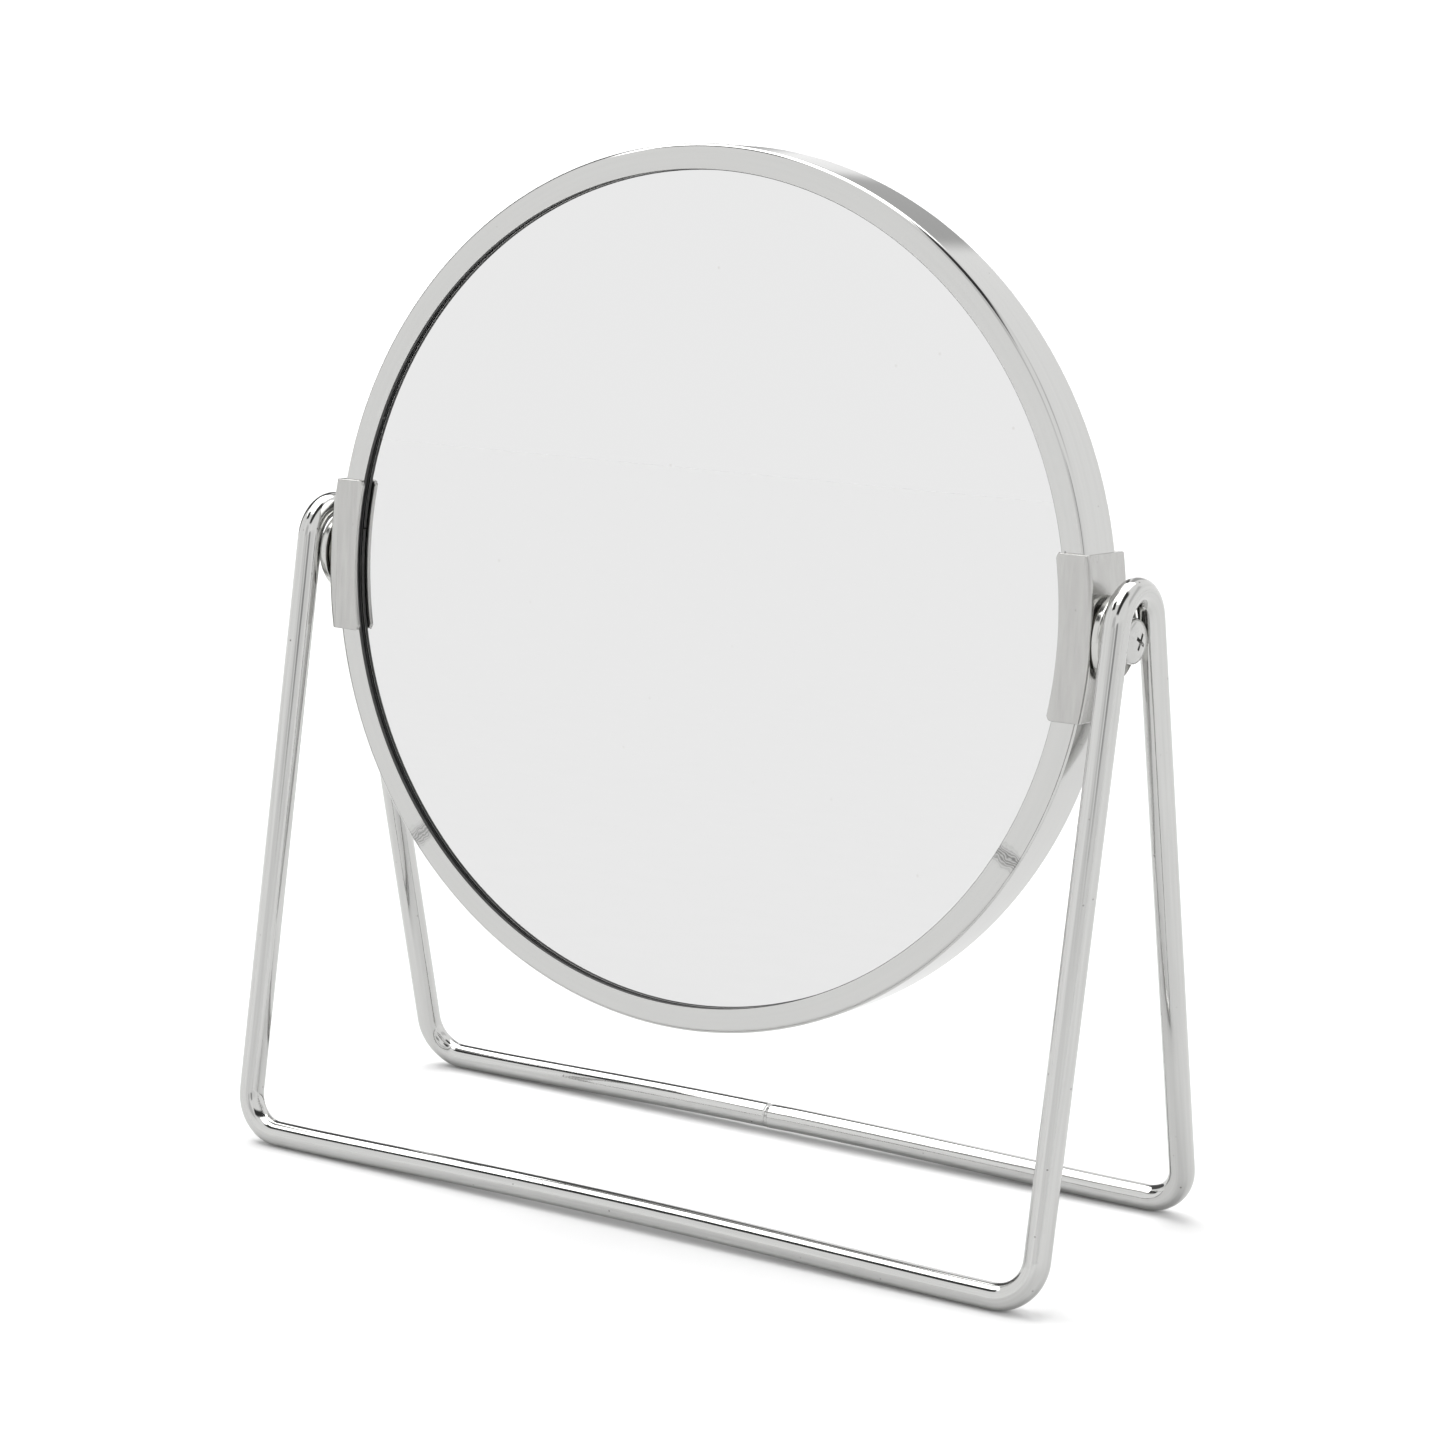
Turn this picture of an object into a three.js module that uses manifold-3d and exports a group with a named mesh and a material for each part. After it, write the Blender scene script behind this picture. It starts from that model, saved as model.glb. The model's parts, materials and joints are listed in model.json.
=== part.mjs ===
// A round, double-sided tilting table mirror in a bent wire stand. Millimetres, +Z up.
// The plain mirror faces -Y and leans back a little; the stand rests on Z = 0.

import * as THREE from "three";
import * as BufferGeometryUtils from "three/addons/utils/BufferGeometryUtils.js";
import Module from "manifold-3d";

// Wire stand
const wireDiameter = 5;
const wireSides = 12;
const railSpacing = 63.2; // front rail to rear rail, centre to centre
const cornerX = 90.3; // leg centreline at the foot
const archX = 91.1; // leg centreline at the pivot, a little further out
const cornerBendRadius = 8;
const archRadius = 7.4;
const archCentreZ = 119.8;
const railBow = 0.9; // the rails rise this much in the middle
const footLength = 6; // straight stretch of rail that touches the table, beside each corner
const weldX = -3.6; // where the wire's two ends meet in the rear rail
const weldGap = 0.1;
const railSteps = 8;
const bendSteps = 8;

// Mirror head
const pivotZ = 118.2;
const leanBackDegrees = 4.4;
const rimRadius = 85;
const rimInnerRadius = 80.1;
const rimDepth = 12.2;
const rimSheet = 0.8;
const rimSegments = 96;
const seamWidth = 0.4;
const seamHeight = 5.6; // above the pivot, hidden by the left clip

// Glasses: both are cut to one radius
const glassRadius = 82.3;
const glassThickness = 2;
const glassRecess = 1.45; // glass surface below the rim's face
const concaveRadius = 900; // sphere radius of the magnifying glass
const concaveRings = 6;
const glassSegments = 72;
const gasketInnerRadius = 80.4;
const gasketThickness = 0.45;
const spacerInnerRadius = 79;
const spacerOuterRadius = 81.4;
const fitGap = 0.1;

// Pivot hardware, stacked along the pivot axis from the clip outwards
const clipGap = 0.2;
const clipSheet = 1;
const clipHeight = 30.4;
const clipInnerRadius = 79.5;
const screwRadius = 2;
const screwHoleRadius = 2.4;
const nutHoleRadius = 2.3;
const screwEnd = 81.75;
const nutInner = 82.6;
const nutThickness = 1.2;
const nutWidth = 9;
const nutHeight = 10;
const frictionWasherInner = 86.5;
const frictionWasherThickness = 0.75;
const frictionWasherRadius = 6;
const cupRim = 86.6;
const cupBack = 88.4;
const cupRadius = 8;
const cupSheet = 0.8;
const cupShoulder = 1; // radius of the pressed edge
const cupFillet = 0.3; // inside the same edge
const springWasherInner = 88.7;
const springWasherThickness = 0.7;
const springWasherRadius = 4.4;
const screwHeadInner = 89.7;
const screwHeadHeight = 2.8;
const screwHeadRadius = 4.2;
const screwShoulder = 1.3; // rounding of the pan head
const screwShoulderSteps = 3;
const recessSpan = 4.6;
const recessWidth = 1;
const recessDepth = 1.5;
const roundSegments = 24;
const cutterSize = 20; // long enough to pass right through rim and clip

const wireRadius = wireDiameter / 2;
const rimHalfDepth = rimDepth / 2;
const clipRadius = rimRadius + clipGap + clipSheet;
const clipHalfDepth = rimHalfDepth + clipGap + clipSheet;

const wasm = await Module();
wasm.setup();

// ---------- solids ----------

function toSolid(geometry) {
  const bare = geometry.index ? geometry.toNonIndexed() : geometry.clone();
  bare.deleteAttribute("normal");
  bare.deleteAttribute("uv");
  const merged = BufferGeometryUtils.mergeVertices(bare, 1e-4);
  return new wasm.Manifold(
    new wasm.Mesh({
      numProp: 3,
      vertProperties: new Float32Array(merged.attributes.position.array),
      triVerts: new Uint32Array(merged.index.array),
    }),
  );
}

function toGeometry(solid) {
  const mesh = solid.getMesh();
  const geometry = new THREE.BufferGeometry();
  geometry.setAttribute("position", new THREE.BufferAttribute(mesh.vertProperties, 3));
  geometry.setIndex(new THREE.BufferAttribute(mesh.triVerts, 1));
  geometry.computeVertexNormals();
  return geometry;
}

// A ring turned about Y from [radius, y] corners listed anticlockwise, radius to the right and y up.
function turnedRing(corners, segments) {
  const profile = [...corners, corners[0]].map(([radius, y]) => new THREE.Vector2(radius, y));
  return new THREE.LatheGeometry(profile, segments);
}

// A solid turned about Y whose profile starts and ends on the axis.
function turnedSolid(corners, segments) {
  return new THREE.LatheGeometry(
    corners.map(([radius, y]) => new THREE.Vector2(radius, y)),
    segments,
  );
}

// Turns a Y-axis shape so that its +Y points along +X for side 1 and along -X for side -1.
function alongPivot(geometry, side) {
  return geometry.rotateZ((-side * Math.PI) / 2);
}

function box(sizeX, sizeY, sizeZ, x, y, z) {
  return new THREE.BoxGeometry(sizeX, sizeY, sizeZ).translate(x, y, z);
}

function pivotHole(side, radius) {
  const drill = new THREE.CylinderGeometry(radius, radius, cutterSize, roundSegments);
  return toSolid(alongPivot(drill, side).translate(side * rimRadius, 0, 0));
}

// ---------- wire stand ----------

// A stretch of rail from one x to another, rising towards the middle and level at the feet.
class BowedRail extends THREE.Curve {
  constructor(y, fromX, toX, footX) {
    super();
    Object.assign(this, { y, fromX, toX, footX });
  }
  getPoint(t) {
    const x = THREE.MathUtils.lerp(this.fromX, this.toX, t);
    const share = Math.max(0, 1 - (x / this.footX) ** 2);
    return new THREE.Vector3(x, this.y, wireRadius + railBow * share ** 1.5);
  }
}

// Curves end to end, each with its own number of steps.
class SteppedPath extends THREE.Curve {
  constructor(pieces) {
    super();
    this.steps = 0;
    this.pieces = pieces.map(([curve, steps]) => {
      const first = this.steps;
      this.steps += steps;
      return { curve, steps, first };
    });
  }
  getUtoTmapping(u) {
    return u;
  }
  getPoint(t) {
    const at = Math.min(t, 1) * this.steps;
    const reached = this.pieces.filter((piece) => piece.first <= at && piece.first < this.steps);
    const { curve, steps, first } = reached.at(-1);
    return curve.getPoint((at - first) / steps);
  }
}

// A round bend of the given radius where two straight runs would meet in a corner.
function bend(corner, inward, outward, radius) {
  const angle = inward.angleTo(outward);
  const reach = radius * Math.tan(angle / 2);
  const handle = (4 / 3) * Math.tan(angle / 4) * radius;
  const start = corner.clone().addScaledVector(inward, -reach);
  const end = corner.clone().addScaledVector(outward, reach);
  return new THREE.CubicBezierCurve3(
    start,
    start.clone().addScaledVector(inward, handle),
    end.clone().addScaledVector(outward, -handle),
    end,
  );
}

// From the foot beside one corner, round the corner, up the leg and over to the top of the arch.
function cornerToArch(side, railY) {
  const rise = archCentreZ - wireRadius;
  const toArch = Math.hypot(railY, rise);
  const lean = Math.atan2(Math.abs(railY), rise) - Math.asin(archRadius / toArch);
  const topY = Math.sign(railY) * archRadius * Math.tan((Math.PI / 2 - lean) / 2);

  const corner = new THREE.Vector3(side * cornerX, railY, wireRadius);
  const archCorner = new THREE.Vector3(side * archX, topY, archCentreZ + archRadius);
  const alongRail = new THREE.Vector3(side, 0, 0);
  const upLeg = archCorner.clone().sub(corner).normalize();
  const overArch = new THREE.Vector3(0, -Math.sign(railY), 0);

  const footBend = bend(corner, alongRail, upLeg, cornerBendRadius);
  const archBend = bend(archCorner, upLeg, overArch, archRadius);
  const footStart = footBend.v0.clone().addScaledVector(alongRail, -footLength);
  return [
    [new THREE.LineCurve3(footStart, footBend.v0), 1],
    [footBend, bendSteps],
    [new THREE.LineCurve3(footBend.v3, archBend.v0), 1],
    [archBend, bendSteps],
  ];
}

function backwards(pieces) {
  return pieces.toReversed().map(([curve, steps]) => {
    if (curve.isLineCurve3) return [new THREE.LineCurve3(curve.v2, curve.v1), steps];
    return [new THREE.CubicBezierCurve3(curve.v3, curve.v2, curve.v1, curve.v0), steps];
  });
}

// One length of wire, from the weld in the rear rail all the way round and back to it.
function wireStand() {
  const rearY = railSpacing / 2;
  const rightRear = cornerToArch(1, rearY);
  const footX = rightRear[0][0].v1.x;
  const path = new SteppedPath([
    [new BowedRail(rearY, weldX + weldGap / 2, footX, footX), railSteps],
    ...rightRear,
    ...backwards(cornerToArch(1, -rearY)),
    [new BowedRail(-rearY, footX, -footX, footX), 2 * railSteps],
    ...cornerToArch(-1, -rearY),
    ...backwards(cornerToArch(-1, rearY)),
    [new BowedRail(rearY, -footX, weldX - weldGap / 2, footX), railSteps],
  ]);

  const cornerRadius = wireRadius / Math.cos(Math.PI / wireSides);
  const corners = Array.from({ length: wireSides }, (_, i) => {
    const angle = ((i + 0.5) * 2 * Math.PI) / wireSides;
    return new THREE.Vector2(cornerRadius * Math.cos(angle), cornerRadius * Math.sin(angle));
  });
  return new THREE.ExtrudeGeometry(new THREE.Shape(corners), { steps: path.steps, extrudePath: path });
}

// ---------- mirror head, in its own upright frame: pivots on X, plain glass towards -Y ----------

function rimRing() {
  const d = rimHalfDepth;
  const web = rimRadius - rimSheet;
  const flange = d - rimSheet;
  const channel = toSolid(
    turnedRing(
      [
        [rimInnerRadius, -d],
        [rimRadius, -d],
        [rimRadius, d],
        [rimInnerRadius, d],
        [rimInnerRadius, flange],
        [web, flange],
        [web, -flange],
        [rimInnerRadius, -flange],
      ],
      rimSegments,
    ),
  );
  const seam = toSolid(box(cutterSize, cutterSize, seamWidth, -rimRadius, 0, seamHeight));
  return toGeometry(
    channel
      .subtract(pivotHole(1, screwHoleRadius))
      .subtract(pivotHole(-1, screwHoleRadius))
      .subtract(seam),
  );
}

function clip(side) {
  const inner = clipRadius - clipSheet;
  const outerDepth = clipHalfDepth;
  const innerDepth = clipHalfDepth - clipSheet;
  const channel = toSolid(
    turnedRing(
      [
        [clipInnerRadius, -outerDepth],
        [clipRadius, -outerDepth],
        [clipRadius, outerDepth],
        [clipInnerRadius, outerDepth],
        [clipInnerRadius, innerDepth],
        [inner, innerDepth],
        [inner, -innerDepth],
        [clipInnerRadius, -innerDepth],
      ],
      rimSegments,
    ),
  );
  const length = toSolid(box(cutterSize, cutterSize, clipHeight, side * rimRadius, 0, 0));
  return toGeometry(channel.intersect(length).subtract(pivotHole(side, screwHoleRadius)));
}

function gasket(side) {
  const face = rimHalfDepth - rimSheet - fitGap;
  const low = face - gasketThickness;
  const ring = turnedRing(
    [
      [gasketInnerRadius, low],
      [glassRadius, low],
      [glassRadius, face],
      [gasketInnerRadius, face],
    ],
    glassSegments,
  );
  return side > 0 ? ring : ring.rotateX(Math.PI);
}

function frontGlass() {
  const disc = new THREE.CylinderGeometry(glassRadius, glassRadius, glassThickness, glassSegments);
  return disc.translate(0, -rimHalfDepth + glassRecess + glassThickness / 2, 0);
}

// A slumped disc, hollow towards +Y, where it magnifies.
function rearGlass() {
  const edge = rimHalfDepth - glassRecess;
  const dip = (radius) => (glassRadius ** 2 - radius ** 2) / (2 * concaveRadius);
  const hollowSide = [];
  const coatedSide = [];
  for (let i = 0; i <= concaveRings; i++) {
    const radius = (glassRadius * i) / concaveRings;
    coatedSide.push([radius, edge - glassThickness - dip(radius)]);
    hollowSide.unshift([radius, edge - dip(radius)]);
  }
  return turnedSolid([...coatedSide, ...hollowSide], glassSegments);
}

function spacerRing() {
  const frontFace = -rimHalfDepth + glassRecess + glassThickness + fitGap;
  const slope = (glassRadius ** 2 - spacerInnerRadius ** 2) / (2 * concaveRadius);
  const rearFace = -frontFace - slope;
  return turnedRing(
    [
      [spacerInnerRadius, frontFace],
      [spacerOuterRadius, frontFace],
      [spacerOuterRadius, rearFace],
      [spacerInnerRadius, rearFace],
    ],
    glassSegments,
  );
}

// ---------- pivot hardware ----------

function washer(side, inner, thickness, radius) {
  const ring = turnedRing(
    [
      [screwHoleRadius, inner],
      [radius, inner],
      [radius, inner + thickness],
      [screwHoleRadius, inner + thickness],
    ],
    roundSegments,
  );
  return alongPivot(ring, side);
}

function pivotCup(side) {
  const wall = cupRadius - cupSheet;
  const floor = cupBack - cupSheet;
  const eased = cupShoulder * (1 - Math.SQRT1_2);
  const ring = turnedRing(
    [
      [screwHoleRadius, floor],
      [wall - cupFillet, floor],
      [wall, floor - cupFillet],
      [wall, cupRim],
      [cupRadius, cupRim],
      [cupRadius, cupBack - cupShoulder],
      [cupRadius - eased, cupBack - eased],
      [cupRadius - cupShoulder, cupBack],
      [screwHoleRadius, cupBack],
    ],
    roundSegments,
  );
  return alongPivot(ring, side);
}

function pivotScrew(side) {
  const top = screwHeadInner + screwHeadHeight;
  const profile = [
    [0, screwEnd],
    [screwRadius, screwEnd],
    [screwRadius, screwHeadInner],
    [screwHeadRadius, screwHeadInner],
  ];
  for (let i = 0; i <= screwShoulderSteps; i++) {
    const turn = ((i / screwShoulderSteps) * Math.PI) / 2;
    const eased = screwShoulder * (1 - Math.cos(turn));
    profile.push([screwHeadRadius - eased, top - screwShoulder * (1 - Math.sin(turn))]);
  }
  const body = toSolid(turnedSolid([...profile, [0, top]], roundSegments));
  const slotA = toSolid(box(recessSpan, recessDepth * 2, recessWidth, 0, top, 0));
  const slotB = toSolid(box(recessWidth, recessDepth * 2, recessSpan, 0, top, 0));
  return alongPivot(toGeometry(body.subtract(slotA).subtract(slotB)), side);
}

function nutPlate(side) {
  const plate = toSolid(box(nutThickness, nutWidth, nutHeight, side * (nutInner + nutThickness / 2), 0, 0));
  return toGeometry(plate.subtract(pivotHole(side, nutHoleRadius)));
}

// ---------- finishes ----------

const metal = (color, roughness) => new THREE.MeshStandardMaterial({ color, roughness, metalness: 1 });
const soft = (color, roughness) => new THREE.MeshStandardMaterial({ color, roughness, metalness: 0 });
const chrome = metal(0xdcdcda, 0.08);
const satinSteel = metal(0xbcbbb6, 0.3);
const mirrorGlass = metal(0xececec, 0.02);
const blackRubber = soft(0x1c1c1c, 0.8);
const whiteNylon = soft(0xe6e4dc, 0.5);
const greyBoard = soft(0x8d8578, 0.9);

// ---------- assembly ----------

const mirror = new THREE.Group();
const stand = new THREE.Group();
const head = new THREE.Group();
head.position.z = pivotZ;
head.rotation.x = THREE.MathUtils.degToRad(-leanBackDegrees);
mirror.add(stand, head);

function place(parent, name, geometry, material) {
  const mesh = new THREE.Mesh(geometry, material);
  mesh.name = name;
  parent.add(mesh);
  return mesh;
}

place(stand, "wire_stand", wireStand(), chrome);
place(head, "rim_ring", rimRing(), chrome);
place(head, "front_glass", frontGlass(), mirrorGlass);
place(head, "rear_glass", rearGlass(), mirrorGlass);
place(head, "front_gasket", gasket(-1), blackRubber);
place(head, "rear_gasket", gasket(1), blackRubber);
place(head, "spacer_ring", spacerRing(), greyBoard);

for (const [name, side] of [["left", -1], ["right", 1]]) {
  const cup = place(stand, `${name}_pivot_cup`, pivotCup(side), satinSteel);
  const nylon = washer(side, frictionWasherInner, frictionWasherThickness, frictionWasherRadius);
  const steel = washer(side, springWasherInner, springWasherThickness, springWasherRadius);
  const frictionWasher = place(stand, `${name}_friction_washer`, nylon, whiteNylon);
  cup.position.z = pivotZ;
  frictionWasher.position.z = pivotZ;
  place(head, `${name}_clip`, clip(side), satinSteel);
  place(head, `${name}_nut_plate`, nutPlate(side), satinSteel);
  place(head, `${name}_spring_washer`, steel, satinSteel);
  place(head, `${name}_pivot_screw`, pivotScrew(side), chrome);
}

export default mirror;
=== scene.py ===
import json
import math

import bmesh
import bpy
from mathutils import Matrix, Vector


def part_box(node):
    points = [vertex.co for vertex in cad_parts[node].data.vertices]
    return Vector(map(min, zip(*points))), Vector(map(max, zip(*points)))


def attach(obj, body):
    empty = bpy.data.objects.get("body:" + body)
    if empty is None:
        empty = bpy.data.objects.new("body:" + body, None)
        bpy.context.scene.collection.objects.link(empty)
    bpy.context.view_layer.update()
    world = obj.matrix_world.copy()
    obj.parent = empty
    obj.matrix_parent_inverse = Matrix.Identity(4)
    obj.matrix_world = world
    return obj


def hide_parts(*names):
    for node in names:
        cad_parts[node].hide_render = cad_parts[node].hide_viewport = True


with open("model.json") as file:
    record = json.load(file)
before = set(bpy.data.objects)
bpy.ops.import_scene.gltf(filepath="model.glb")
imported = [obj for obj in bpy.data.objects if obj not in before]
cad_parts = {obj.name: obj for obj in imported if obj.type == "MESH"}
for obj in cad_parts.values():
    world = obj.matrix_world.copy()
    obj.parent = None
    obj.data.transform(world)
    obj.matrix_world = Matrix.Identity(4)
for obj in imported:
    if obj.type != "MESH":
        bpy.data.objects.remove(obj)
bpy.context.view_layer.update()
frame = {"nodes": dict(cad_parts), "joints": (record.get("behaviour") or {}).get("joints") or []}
scene = bpy.context.scene
pivot = Vector(frame["joints"][0]["pos_m"])
mm = 0.001

# the head is modelled upright with its pivots on X, then leaned back about them
headPose = {"leanBack": math.radians(4.4)}
headPlace = Matrix.Translation(pivot) @ Matrix.Rotation(-headPose["leanBack"], 4, "X")
standPlace = Matrix.Translation(pivot)


# shader helpers

def addNode(tree, kind, values=None, **settings):
    node = tree.nodes.new(kind)
    for key, value in settings.items():
        setattr(node, key, value)
    for socket, value in (values or {}).items():
        node.inputs[socket].default_value = value
    return node


def newGroup(name, inputs, outputs):
    group = bpy.data.node_groups.new(name, "ShaderNodeTree")
    for label, kind, value in inputs:
        socket = group.interface.new_socket(label, in_out="INPUT", socket_type=kind)
        if value is not None:
            socket.default_value = value
    for label, kind in outputs:
        group.interface.new_socket(label, in_out="OUTPUT", socket_type=kind)
    return group, group.nodes.new("NodeGroupInput"), group.nodes.new("NodeGroupOutput")


def addGroup(tree, group, values):
    return addNode(tree, "ShaderNodeGroup", values, node_tree=group)


def ramp(tree, source, low, high, rising=True):
    limits = {"From Min": low, "From Max": high, "To Min": float(not rising), "To Max": float(rising)}
    step = addNode(tree, "ShaderNodeMapRange", limits, interpolation_type="SMOOTHSTEP")
    tree.links.new(source, step.inputs["Value"])
    return step.outputs["Result"]


def combine(tree, operation, *values):
    node = addNode(tree, "ShaderNodeMath", operation=operation)
    for socket, value in zip(node.inputs, values):
        if isinstance(value, (int, float)):
            socket.default_value = value
        else:
            tree.links.new(value, socket)
    return node.outputs[0]


# plated metal: a slow ripple in the polish, drawing lines along the grain and a few pits under the plate
plating = {"rippleDetail": 2.0, "rippleRoughness": 0.45, "lineDetail": 3.0, "lineRoughness": 0.6,
           "unpittedShare": 0.93, "filmScale": 35.0, "filmDetail": 3.0}


def buildPlatingGroup():
    group, source, sink = newGroup(
        "platingFinish",
        [("Vector", "NodeSocketVector", None), ("Grain", "NodeSocketVector", None),
         ("Ripple Scale", "NodeSocketFloat", 90.0), ("Grain Scale", "NodeSocketFloat", 1500.0),
         ("Grain Depth", "NodeSocketFloat", 0.3), ("Grain Tone", "NodeSocketFloat", 0.1),
         ("Pit Scale", "NodeSocketFloat", 420.0), ("Pit Size", "NodeSocketFloat", 0.1),
         ("Tone", "NodeSocketColor", (0.6, 0.6, 0.59, 1)),
         ("Pit Tone", "NodeSocketColor", (0.16, 0.15, 0.14, 1)),
         ("Gloss", "NodeSocketFloat", 0.04), ("Haze", "NodeSocketFloat", 0.05)],
        [("Color", "NodeSocketColor"), ("Roughness", "NodeSocketFloat"), ("Height", "NodeSocketFloat")],
    )
    link = group.links.new
    ripple = addNode(group, "ShaderNodeTexNoise", {
        "Detail": plating["rippleDetail"], "Roughness": plating["rippleRoughness"]})
    link(source.outputs["Vector"], ripple.inputs["Vector"])
    link(source.outputs["Ripple Scale"], ripple.inputs["Scale"])
    lines = addNode(group, "ShaderNodeTexNoise", {
        "Detail": plating["lineDetail"], "Roughness": plating["lineRoughness"]})
    link(source.outputs["Grain"], lines.inputs["Vector"])
    link(source.outputs["Grain Scale"], lines.inputs["Scale"])

    pits = addNode(group, "ShaderNodeTexVoronoi", {"Randomness": 1.0})
    link(source.outputs["Vector"], pits.inputs["Vector"])
    link(source.outputs["Pit Scale"], pits.inputs["Scale"])
    lot = addNode(group, "ShaderNodeTexWhiteNoise", noise_dimensions="3D")
    link(pits.outputs["Position"], lot.inputs["Vector"])
    chosen = combine(group, "GREATER_THAN", lot.outputs["Value"], plating["unpittedShare"])
    spot = addNode(group, "ShaderNodeMapRange", {"From Min": 0.0, "To Min": 1.0, "To Max": 0.0},
                   interpolation_type="SMOOTHSTEP")
    link(pits.outputs["Distance"], spot.inputs["Value"])
    link(source.outputs["Pit Size"], spot.inputs["From Max"])
    pit = combine(group, "MULTIPLY", chosen, spot.outputs["Result"])

    centred = combine(group, "SUBTRACT", lines.outputs["Fac"], 0.5)
    shade = combine(group, "MULTIPLY_ADD", centred, source.outputs["Grain Tone"], 1.0)
    lined = addNode(group, "ShaderNodeVectorMath", operation="SCALE")
    link(source.outputs["Tone"], lined.inputs["Vector"])
    link(shade, lined.inputs["Scale"])
    color = addNode(group, "ShaderNodeMix", data_type="RGBA")
    link(pit, color.inputs["Factor"])
    link(lined.outputs["Vector"], color.inputs["A"])
    link(source.outputs["Pit Tone"], color.inputs["B"])

    film = addNode(group, "ShaderNodeTexNoise", {
        "Scale": plating["filmScale"], "Detail": plating["filmDetail"]})
    link(source.outputs["Vector"], film.inputs["Vector"])
    haze = combine(group, "MULTIPLY_ADD", film.outputs["Fac"], source.outputs["Haze"],
                   source.outputs["Gloss"])
    scored = combine(group, "MULTIPLY_ADD", lines.outputs["Fac"], source.outputs["Grain Depth"],
                     ripple.outputs["Fac"])
    link(color.outputs["Result"], sink.inputs["Color"])
    link(haze, sink.inputs["Roughness"])
    link(combine(group, "SUBTRACT", scored, pit), sink.inputs["Height"])
    return group


# a few specks of dust and a thin wiped film
dusting = {"speckReach": 0.3, "speckCover": 0.5, "speckTone": (0.62, 0.6, 0.57, 1), "wipeScale": 22.0,
           "wipeDetail": 4.0, "wipeDistortion": 1.2}


def buildDustGroup():
    group, source, sink = newGroup(
        "dustFilm",
        [("Vector", "NodeSocketVector", None), ("Color", "NodeSocketColor", (0.8, 0.8, 0.8, 1)),
         ("Roughness", "NodeSocketFloat", 0.1), ("Speck Scale", "NodeSocketFloat", 900.0),
         ("Speck Amount", "NodeSocketFloat", 0.02), ("Film", "NodeSocketFloat", 0.02)],
        [("Color", "NodeSocketColor"), ("Roughness", "NodeSocketFloat")],
    )
    link = group.links.new
    cells = addNode(group, "ShaderNodeTexVoronoi")
    link(source.outputs["Vector"], cells.inputs["Vector"])
    link(source.outputs["Speck Scale"], cells.inputs["Scale"])
    lot = addNode(group, "ShaderNodeTexWhiteNoise", noise_dimensions="3D")
    link(cells.outputs["Position"], lot.inputs["Vector"])
    chosen = combine(group, "LESS_THAN", lot.outputs["Value"], source.outputs["Speck Amount"])
    near = addNode(group, "ShaderNodeMapRange", {
        "From Max": dusting["speckReach"], "To Min": dusting["speckCover"], "To Max": 0.0})
    link(cells.outputs["Distance"], near.inputs["Value"])
    color = addNode(group, "ShaderNodeMix", {"B": dusting["speckTone"]}, data_type="RGBA")
    link(combine(group, "MULTIPLY", chosen, near.outputs["Result"]), color.inputs["Factor"])
    link(source.outputs["Color"], color.inputs["A"])
    wipe = addNode(group, "ShaderNodeTexNoise", {
        "Scale": dusting["wipeScale"], "Detail": dusting["wipeDetail"],
        "Distortion": dusting["wipeDistortion"]})
    link(source.outputs["Vector"], wipe.inputs["Vector"])
    rough = combine(group, "MULTIPLY_ADD", wipe.outputs["Fac"], source.outputs["Film"],
                    source.outputs["Roughness"])
    link(color.outputs["Result"], sink.inputs["Color"])
    link(rough, sink.inputs["Roughness"])
    return group


# a faint wavy mark across a straightened strip, left on its front face when it was rolled
marking = {"wobbleScale": 600.0, "wobbleDetail": 2.0, "wobble": 2 * mm, "core": 0.1, "fade": 0.6,
           "ridgeRate": 11000.0, "ridgeDepth": 0.35, "faceNear": 0.1 * mm, "faceFar": 0.6 * mm}


def buildMarkGroup():
    group, source, sink = newGroup(
        "toolMark",
        [("Strip", "NodeSocketVector", None), ("Color", "NodeSocketColor", (0.6, 0.6, 0.6, 1)),
         ("Along", "NodeSocketFloat", 0.1), ("Width", "NodeSocketFloat", 0.003),
         ("Face", "NodeSocketFloat", -0.006), ("Strength", "NodeSocketFloat", 0.5)],
        [("Color", "NodeSocketColor")],
    )
    link = group.links.new
    axes = addNode(group, "ShaderNodeSeparateXYZ")
    link(source.outputs["Strip"], axes.inputs["Vector"])
    wobble = addNode(group, "ShaderNodeTexNoise", {
        "Scale": marking["wobbleScale"], "Detail": marking["wobbleDetail"]})
    link(source.outputs["Strip"], wobble.inputs["Vector"])
    waver = combine(group, "MULTIPLY_ADD", wobble.outputs["Fac"], marking["wobble"],
                    -marking["wobble"] / 2)
    fromMiddle = combine(group, "SUBTRACT", axes.outputs["Z"], source.outputs["Along"])
    place = combine(group, "ADD", fromMiddle, waver)
    far = combine(group, "DIVIDE", combine(group, "ABSOLUTE", place), source.outputs["Width"])
    near = ramp(group, far, marking["core"], marking["fade"], rising=False)
    ridges = combine(group, "SINE", combine(group, "MULTIPLY", place, marking["ridgeRate"]))
    lined = combine(group, "MULTIPLY_ADD", ridges, marking["ridgeDepth"], 1 - marking["ridgeDepth"])
    behindFace = combine(group, "SUBTRACT", axes.outputs["Y"], source.outputs["Face"])
    front = ramp(group, behindFace, marking["faceNear"], marking["faceFar"], rising=False)
    marked = combine(group, "MULTIPLY", combine(group, "MULTIPLY", near, lined), front)
    kept = combine(group, "SUBTRACT", 1.0, combine(group, "MULTIPLY", marked, source.outputs["Strength"]))
    toned = addNode(group, "ShaderNodeVectorMath", operation="SCALE")
    link(source.outputs["Color"], toned.inputs["Vector"])
    link(kept, toned.inputs["Scale"])
    link(toned.outputs["Vector"], sink.inputs["Color"])
    return group


platingFinish = buildPlatingGroup()
toolMark = buildMarkGroup()
dustFilm = buildDustGroup()


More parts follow.
